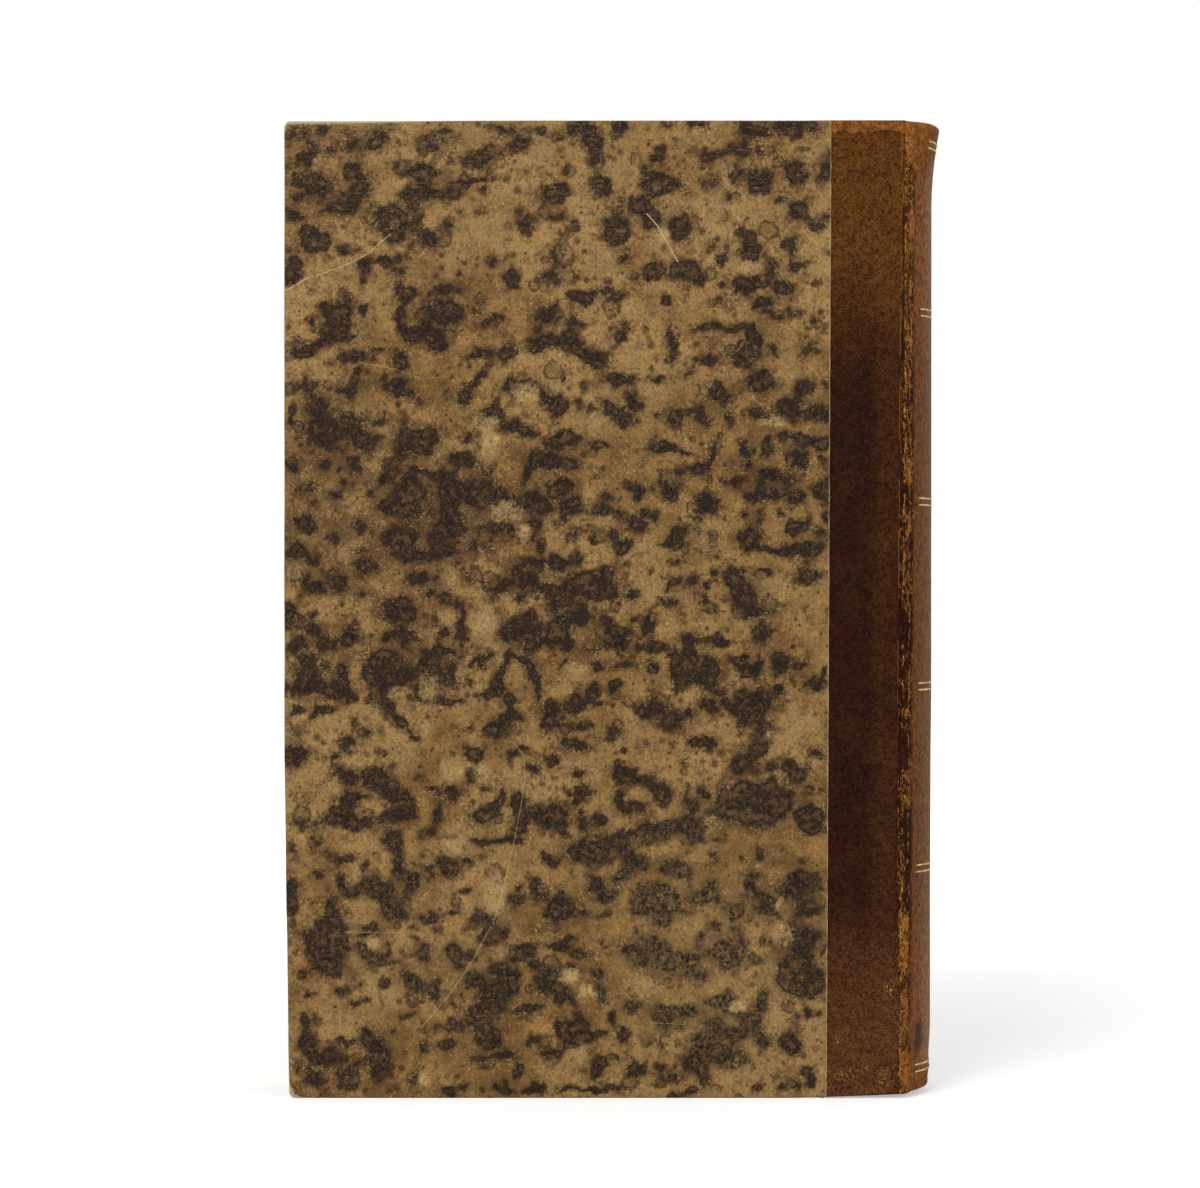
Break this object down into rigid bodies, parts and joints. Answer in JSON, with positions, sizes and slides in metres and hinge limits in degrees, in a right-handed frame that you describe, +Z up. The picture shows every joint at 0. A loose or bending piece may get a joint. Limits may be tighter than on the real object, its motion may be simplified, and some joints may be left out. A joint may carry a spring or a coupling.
{
  "type": "quarter-leather book",
  "caption": "Worn antique hardback book, rounded leather spine with gilt rules and headcaps, marbled paper boards, hollow back, both covers hinged",
  "frame": {"origin": "middle of the book's box at the height of its tail, where it stands", "axes": "+Z up from tail to head, +X from the fore-edge to the spine, -Y out of the rear cover"},
  "size_m": [0.1486, 0.0304, 0.22],
  "materials": {
    "calf_leather": "satin",
    "marbled_paper": "satin",
    "leaves": "matte",
    "endpaper": "matte",
    "lining_paper": "matte",
    "millboard": "matte",
    "linen": "matte",
    "hemp_cord": "matte",
    "endband_thread": "matte",
    "gold_leaf": "satin"
  },
  "bodies": {
    "book_block": {"text_block": "leaves", "spine_linen": "linen", "spine_hollow": "lining_paper", "spine_leather": "calf_leather", "gilt_rules": "gold_leaf", "head_endband": "endband_thread", "tail_endband": "endband_thread", "front_flyleaf": "endpaper", "rear_flyleaf": "endpaper", "sewing_cord_1": "hemp_cord", "sewing_cord_2": "hemp_cord", "sewing_cord_3": "hemp_cord", "sewing_cord_4": "hemp_cord", "sewing_cord_5": "hemp_cord"},
    "front_cover": {"front_board": "millboard", "front_marbled_paper": "marbled_paper", "front_leather_side": "calf_leather", "front_pastedown": "endpaper", "front_slip_1": "hemp_cord", "front_slip_2": "hemp_cord", "front_slip_3": "hemp_cord", "front_slip_4": "hemp_cord", "front_slip_5": "hemp_cord"},
    "rear_cover": {"rear_board": "millboard", "rear_marbled_paper": "marbled_paper", "rear_leather_side": "calf_leather", "rear_pastedown": "endpaper", "rear_slip_1": "hemp_cord", "rear_slip_2": "hemp_cord", "rear_slip_3": "hemp_cord", "rear_slip_4": "hemp_cord", "rear_slip_5": "hemp_cord"}
  },
  "joints": [
    {"name": "front_hinge", "type": "hinge", "parent": "book_block", "child": "front_cover", "pos_m": [0.06537, 0.0153, 0.11], "axis": [0, 0, -1], "range_deg": [0, 180]},
    {"name": "rear_hinge", "type": "hinge", "parent": "book_block", "child": "rear_cover", "pos_m": [0.06537, -0.0153, 0.11], "axis": [0, 0, 1], "range_deg": [0, 180]}
  ]
}
